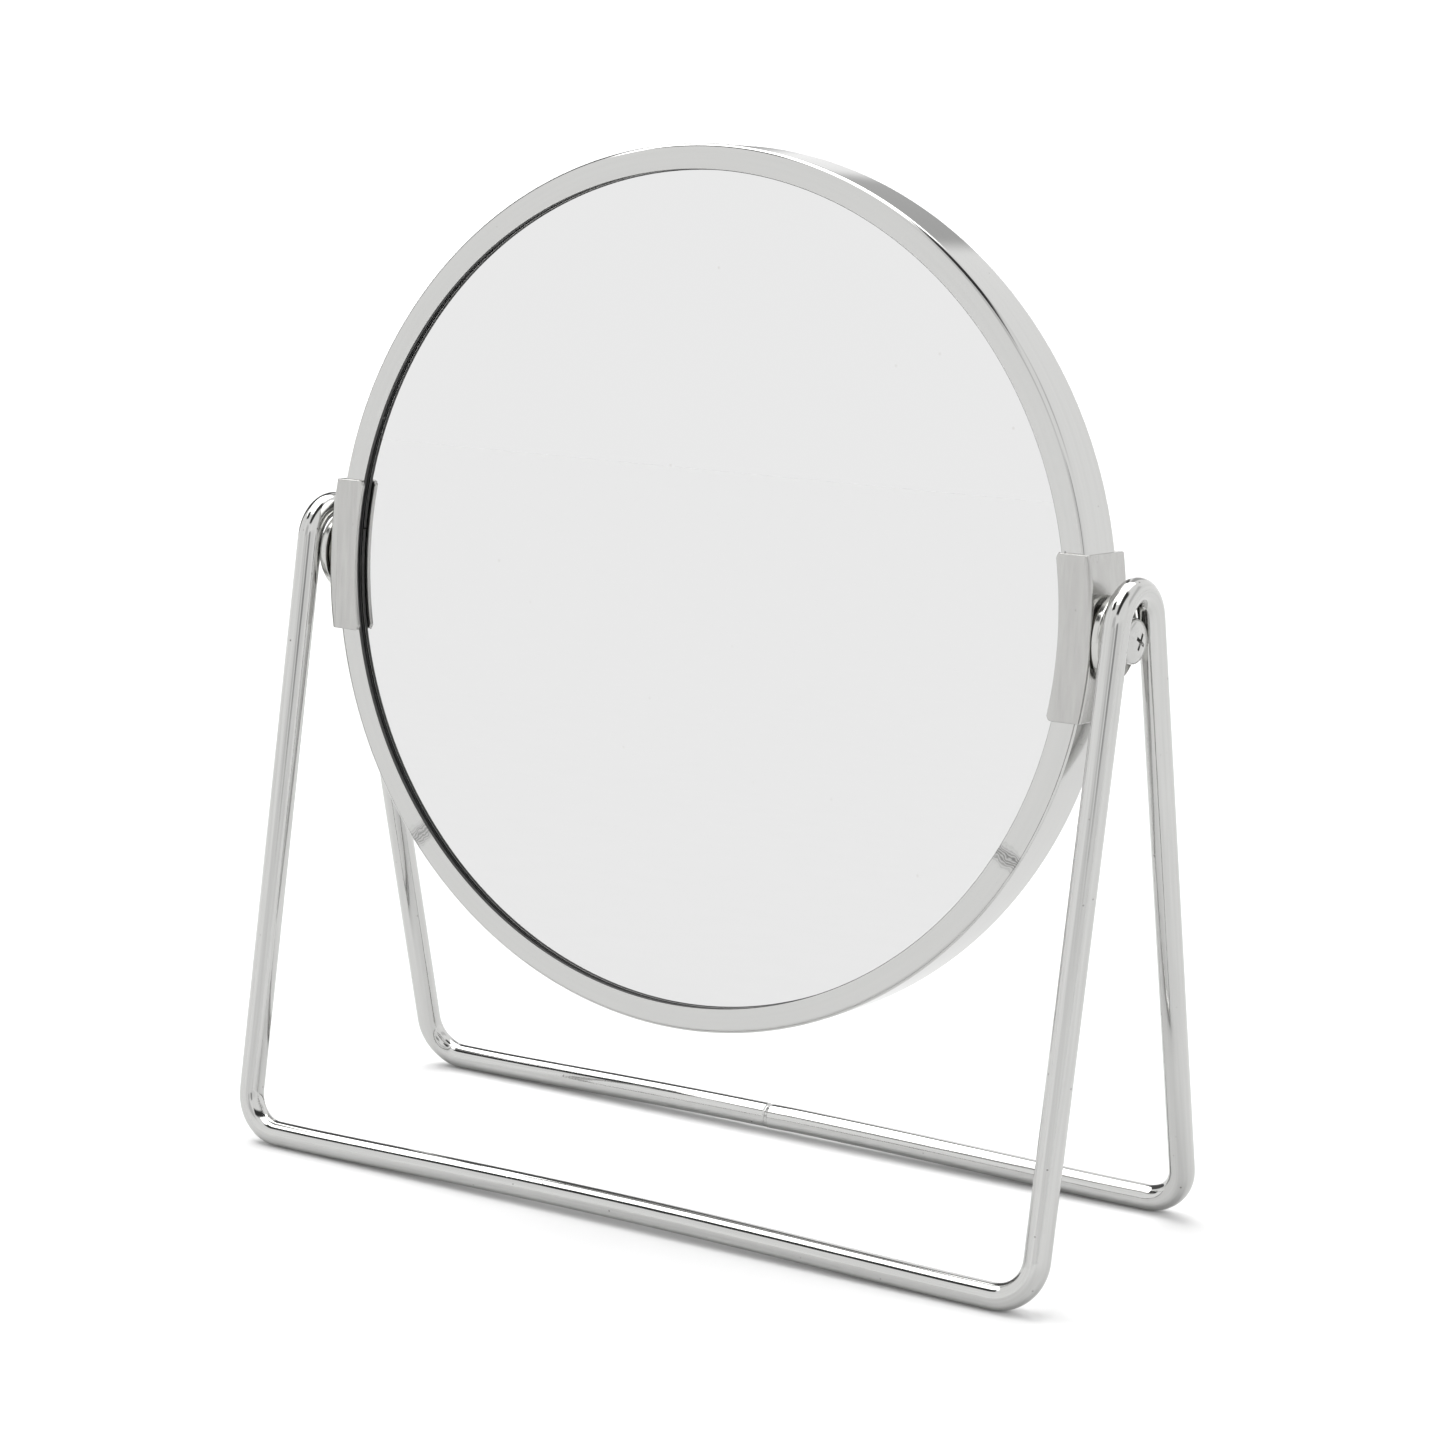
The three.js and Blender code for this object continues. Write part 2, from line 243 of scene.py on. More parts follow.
def newMaterial(name):
    material = bpy.data.materials.new(name)
    material.use_nodes = True
    tree = material.node_tree
    shader = tree.nodes["Principled BSDF"]
    place = addNode(tree, "ShaderNodeTexCoord")
    return material, tree, shader, place


# the grain runs along the piece's own straightened length where it has one, otherwise along Z
def platedMetal(name, finish):
    material, tree, shader, place = newMaterial(name)
    link = tree.links.new
    shader.inputs["Metallic"].default_value = 1.0
    plate = addGroup(tree, platingFinish, {
        "Ripple Scale": finish["rippleScale"], "Grain Scale": finish["grainScale"],
        "Grain Depth": finish["grainDepth"], "Grain Tone": finish["grainTone"],
        "Pit Scale": finish["pitScale"], "Pit Size": finish["pitSize"],
        "Tone": finish["tone"], "Gloss": finish["gloss"], "Haze": finish["haze"]})
    dust = addGroup(tree, dustFilm, {
        "Speck Scale": finish["speckScale"], "Speck Amount": finish["speckAmount"],
        "Film": finish["film"]})
    bump = addNode(tree, "ShaderNodeBump", {"Strength": finish["bump"], "Distance": finish["bumpDepth"]})
    along = place.outputs["Object"]
    if finish["straightened"]:
        along = addNode(tree, "ShaderNodeAttribute", attribute_name="straightened").outputs["Vector"]
    stretch = addNode(tree, "ShaderNodeVectorMath", {1: (1, 1, finish["grainStretch"])},
                      operation="MULTIPLY")
    link(along, stretch.inputs[0])
    link(stretch.outputs["Vector"], plate.inputs["Grain"])
    link(place.outputs["Object"], plate.inputs["Vector"])
    link(place.outputs["Object"], dust.inputs["Vector"])
    color = plate.outputs["Color"]
    for where, width, strength in finish.get("marks", []):
        mark = addGroup(tree, toolMark, {"Along": where, "Width": width, "Strength": strength})
        link(along, mark.inputs["Strip"])
        link(color, mark.inputs["Color"])
        color = mark.outputs["Color"]
    link(color, dust.inputs["Color"])
    link(plate.outputs["Roughness"], dust.inputs["Roughness"])
    link(plate.outputs["Height"], bump.inputs["Height"])
    link(dust.outputs["Color"], shader.inputs["Base Color"])
    link(dust.outputs["Roughness"], shader.inputs["Roughness"])
    link(bump.outputs["Normal"], shader.inputs["Normal"])
    return material


# a mark is its place along the strip, its width and its strength
chromeWireLook = {"tone": (0.6, 0.6, 0.59, 1), "gloss": 0.04, "haze": 0.06, "straightened": True,
                  "grainScale": 1400.0, "grainStretch": 0.02, "grainDepth": 0.5, "grainTone": 0.3,
                  "rippleScale": 140.0, "pitScale": 700.0, "pitSize": 0.22,
                  "bump": 0.6, "bumpDepth": 0.00003, "speckScale": 1100.0, "speckAmount": 0.01, "film": 0.02}
chromeRimLook = {"tone": (0.6, 0.6, 0.59, 1), "gloss": 0.04, "haze": 0.04, "straightened": True,
                 "grainScale": 1100.0, "grainStretch": 0.015, "grainDepth": 0.3, "grainTone": 0.08,
                 "rippleScale": 60.0, "pitScale": 500.0, "pitSize": 0.1,
                 "bump": 0.25, "bumpDepth": 0.00002, "speckScale": 1100.0, "speckAmount": 0.01, "film": 0.02,
                 "marks": [(0.3061, 0.0045, 0.62), (0.4663, 0.005, 0.5)]}
clipPlateLook = {"tone": (0.515, 0.512, 0.5, 1), "gloss": 0.15, "haze": 0.1, "straightened": False,
                 "grainScale": 900.0, "grainStretch": 0.04, "grainDepth": 0.4, "grainTone": 0.3,
                 "rippleScale": 120.0, "pitScale": 700.0, "pitSize": 0.12,
                 "bump": 0.3, "bumpDepth": 0.00003, "speckScale": 1300.0, "speckAmount": 0.01, "film": 0.03}
cupPlateLook = {"tone": (0.6, 0.6, 0.58, 1), "gloss": 0.1, "haze": 0.1, "straightened": False,
                "grainScale": 700.0, "grainStretch": 1.0, "grainDepth": 0.4, "grainTone": 0.1,
                "rippleScale": 200.0, "pitScale": 900.0, "pitSize": 0.12,
                "bump": 0.3, "bumpDepth": 0.00003, "speckScale": 1300.0, "speckAmount": 0.01, "film": 0.03}
screwPlateLook = {"tone": (0.58, 0.58, 0.57, 1), "gloss": 0.12, "haze": 0.1, "straightened": False,
                  "grainScale": 900.0, "grainStretch": 1.0, "grainDepth": 0.4, "grainTone": 0.12,
                  "rippleScale": 300.0, "pitScale": 1200.0, "pitSize": 0.12,
                  "bump": 0.3, "bumpDepth": 0.00003, "speckScale": 1500.0, "speckAmount": 0.01, "film": 0.03}
bareSteelLook = {"tone": (0.42, 0.42, 0.41, 1), "gloss": 0.3, "haze": 0.16, "straightened": False,
                 "grainScale": 1200.0, "grainStretch": 0.1, "grainDepth": 0.5, "grainTone": 0.3,
                 "rippleScale": 500.0, "pitScale": 1800.0, "pitSize": 0.2,
                 "bump": 0.5, "bumpDepth": 0.00003, "speckScale": 1500.0, "speckAmount": 0.02, "film": 0.04}
chromeWire = platedMetal("chromeWire", chromeWireLook)
chromeRim = platedMetal("chromeRim", chromeRimLook)
clipPlate = platedMetal("clipPlate", clipPlateLook)
cupPlate = platedMetal("cupPlate", cupPlateLook)
screwPlate = platedMetal("screwPlate", screwPlateLook)
bareSteel = platedMetal("bareSteel", bareSteelLook)


# silvered glass: the silver seen through the sheet, with a thin wiped film and a little dust on top
silverLook = {"tone": (0.787, 0.787, 0.787, 1), "gloss": 0.0, "speckScale": 700.0, "speckAmount": 0.004,
              "film": 0.012}


def silveredGlass(name, look):
    material, tree, shader, place = newMaterial(name)
    link = tree.links.new
    shader.inputs["Metallic"].default_value = 1.0
    dust = addGroup(tree, dustFilm, {
        "Color": look["tone"], "Roughness": look["gloss"], "Speck Scale": look["speckScale"],
        "Speck Amount": look["speckAmount"], "Film": look["film"]})
    link(place.outputs["Object"], dust.inputs["Vector"])
    link(dust.outputs["Color"], shader.inputs["Base Color"])
    link(dust.outputs["Roughness"], shader.inputs["Roughness"])
    return material


# unplated finishes, each a fine mottle of two tones
softDetail = {"grainDetail": 5.0, "speckAmount": 0.015, "film": 0.1, "bumpDepth": 0.00005}
softLooks = {
    "groundGlassEdge": {"dark": (0.22, 0.33, 0.29, 1), "light": (0.4, 0.52, 0.47, 1), "scale": 900.0,
                        "rough": 0.35, "bump": 0.3},
    "gasketRubber": {"dark": (0.012, 0.012, 0.012, 1), "light": (0.03, 0.03, 0.03, 1), "scale": 1400.0,
                     "rough": 0.55, "bump": 0.4},
    "naturalNylon": {"dark": (0.6, 0.58, 0.5, 1), "light": (0.78, 0.76, 0.68, 1), "scale": 500.0,
                     "rough": 0.4, "bump": 0.2},
    "cutEdge": {"dark": (0.03, 0.03, 0.03, 1), "light": (0.07, 0.07, 0.068, 1), "scale": 1500.0,
                "rough": 0.5, "bump": 0.5},
    "fibreBoard": {"dark": (0.2, 0.17, 0.13, 1), "light": (0.38, 0.33, 0.27, 1), "scale": 700.0,
                   "rough": 0.85, "bump": 0.8},
}


def softMaterial(name):
    look = softLooks[name]
    material, tree, shader, place = newMaterial(name)
    link = tree.links.new
    grain = addNode(tree, "ShaderNodeTexNoise", {
        "Scale": look["scale"], "Detail": softDetail["grainDetail"]})
    tone = addNode(tree, "ShaderNodeMix", {"A": look["dark"], "B": look["light"]}, data_type="RGBA")
    dust = addGroup(tree, dustFilm, {
        "Roughness": look["rough"], "Speck Amount": softDetail["speckAmount"],
        "Film": softDetail["film"]})
    bump = addNode(tree, "ShaderNodeBump", {
        "Strength": look["bump"], "Distance": softDetail["bumpDepth"]})
    link(place.outputs["Object"], grain.inputs["Vector"])
    link(place.outputs["Object"], dust.inputs["Vector"])
    link(grain.outputs["Fac"], tone.inputs["Factor"])
    link(tone.outputs["Result"], dust.inputs["Color"])
    link(grain.outputs["Fac"], bump.inputs["Height"])
    link(dust.outputs["Color"], shader.inputs["Base Color"])
    link(dust.outputs["Roughness"], shader.inputs["Roughness"])
    link(bump.outputs["Normal"], shader.inputs["Normal"])
    return material


silver = silveredGlass("silveredGlass", silverLook)
glassEdge = softMaterial("groundGlassEdge")
gasketRubber = softMaterial("gasketRubber")
naturalNylon = softMaterial("naturalNylon")
fibreBoard = softMaterial("fibreBoard")
cutEdge = softMaterial("cutEdge")
print("materials made")


# mesh helpers

meshing = {"sharpAngle": 35, "bendStep": 0.12 * mm, "fewestBendSteps": 3, "edgeSteps": 3,
           "merge": 1e-6, "fineMerge": 1e-7}


# one piece from a bmesh: turned right side out, put in place, smoothed, and tied to its body; the CAD node
# it stands in for is hidden
def makePiece(name, bm, materials, body, node, place=None, sharp=meshing["sharpAngle"]):
    bmesh.ops.recalc_face_normals(bm, faces=bm.faces)
    if place is not None:
        bmesh.ops.transform(bm, matrix=place, verts=bm.verts)
    for face in bm.faces:
        face.smooth = True
    for edge in bm.edges:
        edge.smooth = edge.calc_face_angle(0) < math.radians(sharp)
    mesh = bpy.data.meshes.new(name)
    bm.to_mesh(mesh)
    bm.free()
    piece = bpy.data.objects.new(name, mesh)
    scene.collection.objects.link(piece)
    for material in materials:
        mesh.materials.append(material)
    weighted = piece.modifiers.new("flatFacesStayFlat", "WEIGHTED_NORMAL")
    weighted.keep_sharp = True
    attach(piece, body)
    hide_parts(node)
    print("made", name)


# a closed outline in the half plane x > 0 of XY, its corners rounded by their own radii
def outline(bm, corners):
    verts = [bm.verts.new((radius, y, 0)) for radius, y, bend in corners]
    edges = [bm.edges.new((verts[i - 1], verts[i])) for i in range(len(verts))]
    for vert, (radius, y, bend) in zip(verts, corners):
        if bend > 0:
            steps = max(meshing["fewestBendSteps"], round(bend / meshing["bendStep"]))
            bmesh.ops.bevel(bm, geom=[vert], offset=bend, offset_type="OFFSET", affect="VERTICES",
                            segments=steps, profile=0.5, material=-1)
    return edges


# the outline turned about Y; a full turn closes on itself
def spinOutline(bm, start, angle, steps):
    full = abs(angle - math.tau) < meshing["merge"]
    bmesh.ops.rotate(bm, verts=bm.verts, cent=(0, 0, 0), matrix=Matrix.Rotation(start, 3, "Y"))
    bmesh.ops.spin(bm, geom=bm.verts[:] + bm.edges[:], cent=(0, 0, 0), axis=(0, 1, 0), angle=angle,
                   steps=steps, use_merge=full, use_duplicate=False)
    bmesh.ops.remove_doubles(bm, verts=bm.verts, dist=meshing["merge"])


def turnedPiece(corners, steps):
    bm = bmesh.new()
    outline(bm, corners)
    spinOutline(bm, 0, math.tau, steps)
    return bm


# lays a piece turned about Y along the pivot axis, its +Y pointing out on that side
def alongPivot(bm, side):
    turn = Matrix.Rotation(-side * math.pi / 2, 3, "Z")
    bmesh.ops.rotate(bm, verts=bm.verts, cent=(0, 0, 0), matrix=turn)
    return bm


# cuts one bmesh out of another
def cutAway(bm, cutter):
    made = []
    for shape in (bm, cutter):
        bmesh.ops.recalc_face_normals(shape, faces=shape.faces)
        mesh = bpy.data.meshes.new("cutting")
        shape.to_mesh(mesh)
        shape.free()
        made.append(bpy.data.objects.new("cutting", mesh))
        scene.collection.objects.link(made[-1])
    boolean = made[0].modifiers.new("cut", "BOOLEAN")
    boolean.object = made[1]
    boolean.solver = "EXACT"
    evaluated = made[0].evaluated_get(bpy.context.evaluated_depsgraph_get())
    result = bmesh.new()
    result.from_mesh(evaluated.to_mesh())
    evaluated.to_mesh_clear()
    for item in made:
        mesh = item.data
        bpy.data.objects.remove(item)
        bpy.data.meshes.remove(mesh)
    bmesh.ops.remove_doubles(result, verts=result.verts, dist=meshing["fineMerge"])
    return result


# wire stand: one round section pushed and bent along a quarter of the loop, then mirrored twice

wire = {"radius": 2.5 * mm, "cornerX": 90.3 * mm, "archX": 91.1 * mm, "cornerBend": 8 * mm,
        "archRadius": 7.4 * mm, "railBow": 0.9 * mm, "bowShape": 1.5, "footLength": 6 * mm,
        "sides": 36, "railSteps": 40, "footSteps": 3, "legSteps": 10, "bendSteps": 24, "merge": 0.02 * mm}

# shares of the wire's thickness left in the grooves and on the bead; the step fades out over its reach
weld = {"x": -3.6 * mm, "groove": 0.89, "bead": 0.985, "halfWidth": 0.34 * mm, "shoulder": 0.6 * mm,
        "step": 0.1 * mm, "stepReach": 6 * mm, "searchReach": 10 * mm}


# every section remembers where it was drawn: across the wire in X and Y, along it in Z
def pushSection(bm, section, offset, steps):
    drawn = bm.verts.layers.float_vector["straightened"]
    for _ in range(steps):
        made = bmesh.ops.extrude_edge_only(bm, edges=section)["geom"]
        moved = [item for item in made if isinstance(item, bmesh.types.BMVert)]
        section = [item for item in made if isinstance(item, bmesh.types.BMEdge)]
        bmesh.ops.translate(bm, verts=moved, vec=offset / steps)
        for vert in moved:
            vert[drawn] = vert[drawn] + Vector((0, 0, offset.length / steps))
    return section


def bendReach(inward, outward, radius):
    return radius * math.tan(inward.angle(outward) / 2)


def bendSection(bm, section, corner, inward, outward, radius, steps):
    drawn = bm.verts.layers.float_vector["straightened"]
    axis = inward.cross(outward).normalized()
    centre = corner - inward * bendReach(inward, outward, radius) + axis.cross(inward) * radius
    step = inward.angle(outward) / steps
    for _ in range(steps):
        geometry = list({vert for edge in section for vert in edge.verts}) + section
        turned = bmesh.ops.spin(bm, geom=geometry, cent=centre, axis=axis, angle=step, steps=1,
                                use_merge=False, use_duplicate=False)
        section = [item for item in turned["geom_last"] if isinstance(item, bmesh.types.BMEdge)]
        for vert in {vert for edge in section for vert in edge.verts}:
            vert[drawn] = vert[drawn] + Vector((0, 0, step * radius))
    return section


def quarterStand(bm, railY, archTopZ):
    r = wire["radius"]
    archCentreZ = archTopZ - r - wire["archRadius"]
    lean = math.atan2(railY, archCentreZ - r)
    lean -= math.asin(wire["archRadius"] / math.hypot(railY, archCentreZ - r))
    corner = Vector((wire["cornerX"], railY, r))
    topY = wire["archRadius"] * math.tan((math.pi / 2 - lean) / 2)
    archCorner = Vector((wire["archX"], topY, archCentreZ + wire["archRadius"]))
    alongRail, overArch = Vector((1, 0, 0)), Vector((0, -1, 0))
    upLeg = (archCorner - corner).normalized()

    footReach = bendReach(alongRail, upLeg, wire["cornerBend"])
    archReach = bendReach(upLeg, overArch, wire["archRadius"])
    bowEnd = wire["cornerX"] - footReach - wire["footLength"]
    place = Matrix.Translation((0, railY, r)) @ Matrix.Rotation(math.pi / 2, 4, "Y")
    bmesh.ops.create_circle(bm, cap_ends=False, segments=wire["sides"], radius=r, matrix=place)
    drawn = bm.verts.layers.float_vector.new("straightened")
    for vert in bm.verts:
        vert[drawn] = Vector((vert.co.y - railY, vert.co.z - r, 0))
    section = pushSection(bm, bm.edges[:], alongRail * bowEnd, wire["railSteps"])
    for vert in bm.verts:
        vert.co.z += wire["railBow"] * max(0, 1 - (vert.co.x / bowEnd) ** 2) ** wire["bowShape"]
    section = pushSection(bm, section, alongRail * wire["footLength"], wire["footSteps"])
    section = bendSection(bm, section, corner, alongRail, upLeg, wire["cornerBend"], wire["bendSteps"])
    leg = (archCorner - corner).length - footReach - archReach
    section = pushSection(bm, section, upLeg * leg, wire["legSteps"])
    section = bendSection(bm, section, archCorner, upLeg, overArch, wire["archRadius"], wire["bendSteps"])
    for edge in section:
        for vert in edge.verts:
            vert.co.y = 0


def nearWeld(place, railY, reach):
    inRail = place.y >= railY - 2 * wire["radius"] and place.z <= weld["searchReach"]
    return inRail and abs(place.x - weld["x"]) <= reach


# the butt weld in the rear rail: a low bead between two grooves, its two ends not quite in line
def weldRail(bm, railY):
    half, shoulder = weld["halfWidth"], weld["shoulder"]
    reach = weld["searchReach"]
    for offset in (-3 * shoulder, -shoulder, -half, 0, half, shoulder, 3 * shoulder):
        cut = [face for face in bm.faces if nearWeld(face.calc_center_median(), railY, reach)]
        geometry = cut + list({edge for face in cut for edge in face.edges})
        geometry += list({vert for face in cut for vert in face.verts})
        bmesh.ops.bisect_plane(bm, geom=geometry, dist=meshing["fineMerge"],
                               plane_co=(weld["x"] + offset, 0, 0), plane_no=(1, 0, 0))
    axisZ = wire["radius"] + wire["railBow"]
    for vert in bm.verts:
        if not nearWeld(vert.co, railY, weld["stepReach"]):
            continue
        along = vert.co.x - weld["x"]
        if abs(along) < 1.01 * half:
            share = weld["bead"] if abs(along) < half / 2 else weld["groove"]
            vert.co.y = railY + (vert.co.y - railY) * share
            vert.co.z = axisZ + (vert.co.z - axisZ) * share
        if along > 0:
            vert.co.z -= weld["step"] * max(0, 1 - along / weld["stepReach"])


def buildStand():
    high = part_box("wire_stand")[1]
    railY = high.y - wire["radius"]
    bm = bmesh.new()
    quarterStand(bm, railY, high.z)
    for axis in "XY":
        bmesh.ops.mirror(bm, geom=bm.verts[:] + bm.edges[:] + bm.faces[:], matrix=Matrix.Identity(4),
                         merge_dist=wire["merge"], axis=axis)
    bmesh.ops.remove_doubles(bm, verts=bm.verts, dist=wire["merge"])
    weldRail(bm, railY)
    makePiece("wireStand", bm, [chromeWire], "stand", "wire_stand")


buildStand()


# rim: a rolled channel with round outer edges, its seam under the left clip

rim = {"radius": 85 * mm, "innerRadius": 80.1 * mm, "halfDepth": 6.1 * mm, "sheet": 0.8 * mm,
       "edge": 0.95 * mm, "insideBend": 0.47 * mm, "lip": 0.25 * mm, "cutShare": 0.3,
       "seamAngle": math.radians(3.78), "seamGap": 0.3 * mm, "segments": 240}


# remembers where on the straight strip each point of a rolled ring came from
def straighten(bm, seamAngle):
    rolled = bm.verts.layers.float_vector.new("straightened")
    for vert in bm.verts:
        radius = math.hypot(vert.co.x, vert.co.z)
        angle = (math.atan2(-vert.co.z, vert.co.x) - seamAngle) % math.tau
        vert[rolled] = Vector((radius, vert.co.y, angle * rim["radius"]))


def buildRim():
    r, inner, d, t = rim["radius"], rim["innerRadius"], rim["halfDepth"], rim["sheet"]
    edge, lip, bend = rim["edge"], rim["lip"], rim["insideBend"]
    bm = bmesh.new()
    outline(bm, [
        (inner, -d, lip), (r, -d, edge), (r, d, edge), (inner, d, lip),
        (inner, d - t, lip), (r - t, d - t, bend), (r - t, t - d, bend), (inner, t - d, lip),
    ])
    gap = rim["seamGap"] / r
    spinOutline(bm, math.pi + rim["seamAngle"] + gap / 2, math.tau - gap, rim["segments"])
    straighten(bm, math.pi + rim["seamAngle"])
    bmesh.ops.holes_fill(bm, edges=[edge for edge in bm.edges if edge.is_boundary], sides=0)
    plated = inner + rim["cutShare"] * lip  # the plating stops short of the cut lips
    for face in bm.faces:
        centre = face.calc_center_median()
        face.material_index = 1 if math.hypot(centre.x, centre.z) < plated else 0
    makePiece("rimRing", bm, [chromeRim, cutEdge], "mirror_head", "rim_ring", headPlace)


buildRim()


# clips: pressed U brackets that follow the rim and are cropped square at both ends

clip = {"radius": 86.2 * mm, "innerRadius": 79.5 * mm, "halfDepth": 7.3 * mm, "sheet": 1 * mm,
        "edge": 0.8 * mm, "insideBend": 0.2 * mm, "height": 30.4 * mm, "cornerRound": 1.1 * mm,
        "cornerSteps": 6, "cornerReach": 0.02 * mm, "soften": 0.22 * mm, "segments": 28,
        "spread": math.radians(13), "flatAngle": math.radians(0.3), "crispAngle": math.radians(50)}


def buildClip(name, side):
    r, inner, d, t = clip["radius"], clip["innerRadius"], clip["halfDepth"], clip["sheet"]
    edge, inside = clip["edge"], clip["insideBend"]
    bm = bmesh.new()
    outline(bm, [
        (inner, -d, 0), (r, -d, edge), (r, d, edge), (inner, d, 0),
        (inner, d - t, 0), (r - t, d - t, inside), (r - t, t - d, inside), (inner, t - d, 0),
    ])
    middle = 0 if side > 0 else math.pi
    spinOutline(bm, middle - clip["spread"], 2 * clip["spread"], clip["segments"])
    top, bend = clip["height"] / 2, clip["cornerRound"]
    for end in (-1, 1):  # cropped square, then cut in levels so that the corners can be rounded
        bmesh.ops.bisect_plane(bm, geom=bm.verts[:] + bm.edges[:] + bm.faces[:],
                               dist=meshing["fineMerge"], clear_outer=True,
                               plane_co=(0, 0, end * top), plane_no=(0, 0, end))
        bmesh.ops.holes_fill(bm, edges=[edge for edge in bm.edges if edge.is_boundary], sides=0)
        for step in range(clip["cornerSteps"]):
            level = top - bend + bend * math.sin(math.pi / 2 * step / clip["cornerSteps"])
            bmesh.ops.bisect_plane(bm, geom=bm.verts[:] + bm.edges[:] + bm.faces[:],
                                   dist=meshing["fineMerge"], plane_co=(0, 0, end * level),
                                   plane_no=(0, 0, 1))
    for vert in bm.verts:
        rise = abs(vert.co.z) - (top - bend)
        if rise > 0 and math.hypot(vert.co.x, vert.co.z) < inner + clip["cornerReach"]:
            reach = inner + bend - math.sqrt(max(0, bend ** 2 - rise ** 2))
            vert.co.x = math.copysign(math.sqrt(reach ** 2 - vert.co.z ** 2), vert.co.x)
    bmesh.ops.dissolve_limit(bm, angle_limit=clip["flatAngle"], use_dissolve_boundaries=False,
                             verts=bm.verts, edges=bm.edges, delimit=set())
    bmesh.ops.recalc_face_normals(bm, faces=bm.faces)
    crisp = [edge for edge in bm.edges if edge.calc_face_angle(0) > clip["crispAngle"]]
    bmesh.ops.bevel(bm, geom=crisp, offset=clip["soften"], offset_type="OFFSET", affect="EDGES",
                    segments=meshing["edgeSteps"], profile=0.5, material=-1)
    makePiece(name + "Clip", bm, [clipPlate], "mirror_head", name + "_clip", headPlace)


# pivot hardware, turned about Y and laid along the pivot axis

cup = {"hole": 2.4 * mm, "radius": 8 * mm, "sheet": 0.8 * mm, "rim": 86.6 * mm, "back": 88.4 * mm,
       "shoulder": 0.9 * mm, "insideBend": 0.3 * mm, "rimEdge": 0.2 * mm, "holeInnerEdge": 0.1 * mm,
       "holeOuterEdge": 0.15 * mm, "segments": 64}


def buildCup(name, side):
    r, t, back, front = cup["radius"], cup["sheet"], cup["back"], cup["rim"]
    bm = turnedPiece([
        (cup["hole"], back - t, cup["holeInnerEdge"]), (r - t, back - t, cup["insideBend"]),
        (r - t, front, cup["rimEdge"]), (r, front, cup["rimEdge"]),
        (r, back, cup["shoulder"]), (cup["hole"], back, cup["holeOuterEdge"]),
    ], cup["segments"])
    makePiece(name + "PivotCup", alongPivot(bm, side), [cupPlate], "stand", name + "_pivot_cup",
              standPlace)


washers = {
    "friction": {"hole": 2.4 * mm, "radius": 6 * mm, "inner": 86.5 * mm, "thickness": 0.75 * mm,
                 "edge": 0.15 * mm, "segments": 48},
    "spring": {"hole": 2.4 * mm, "radius": 4.4 * mm, "inner": 88.7 * mm, "thickness": 0.7 * mm,
               "edge": 0.12 * mm, "segments": 48},
}


def buildWasher(name, side, kind, material, body, place):
    size = washers[kind]
    low, high = size["inner"], size["inner"] + size["thickness"]
    bm = turnedPiece([
        (size["hole"], low, size["edge"]), (size["radius"], low, size["edge"]),
        (size["radius"], high, size["edge"]), (size["hole"], high, size["edge"]),
    ], size["segments"])
    makePiece(name + kind.capitalize() + "Washer", alongPivot(bm, side), [material], body,
              name + "_" + kind + "_washer", place)


screw = {"shank": 2 * mm, "end": 81.75 * mm, "endChamfer": 0.4 * mm, "neckFillet": 0.2 * mm,
         "headInner": 89.7 * mm, "headHeight": 2.8 * mm, "headRadius": 4.2 * mm, "headChamfer": 0.15 * mm,
         "crown": 1.35 * mm, "crownSteps": 9, "crownShape": 0.62, "recessSpan": 4.7 * mm,
         "recessWidth": 1.0 * mm, "recessDepth": 1.9 * mm, "recessTaper": 0.42, "segments": 72,
         "twist": {"left": math.radians(20), "right": math.radians(-28)}, "sharpAngle": 30}


# a tapered four-armed punch, as a driver bit leaves it
def crossPunch(top, twist):
    bm = bmesh.new()
    half, width, depth = screw["recessSpan"] / 2, screw["recessWidth"] / 2, screw["recessDepth"]
    bmesh.ops.create_circle(bm, cap_ends=True, segments=4, radius=width * math.sqrt(2),
                            matrix=Matrix.Rotation(math.pi / 4, 4, "Z"))
    bmesh.ops.recalc_face_normals(bm, faces=bm.faces)
    made = bmesh.ops.extrude_face_region(bm, geom=bm.faces[:])["geom"]
    lifted = [item for item in made if isinstance(item, bmesh.types.BMVert)]
    bmesh.ops.translate(bm, verts=lifted, vec=(0, 0, 2 * depth))
    arms = [face for face in bm.faces if abs(face.normal.z) < 0.5]
    grown = bmesh.ops.extrude_discrete_faces(bm, faces=arms)["faces"]
    for face in grown:
        bmesh.ops.translate(bm, verts=face.verts[:], vec=face.normal * (half - width))
    bmesh.ops.remove_doubles(bm, verts=bm.verts, dist=meshing["fineMerge"])
    for vert in bm.verts:
        if vert.co.z < depth:
            vert.co.x *= screw["recessTaper"]
            vert.co.y *= screw["recessTaper"]
    turn = Matrix.Rotation(-math.pi / 2, 4, "X") @ Matrix.Rotation(twist, 4, "Z")
    bmesh.ops.transform(bm, matrix=Matrix.Translation((0, top - depth, 0)) @ turn, verts=bm.verts)
    return bm


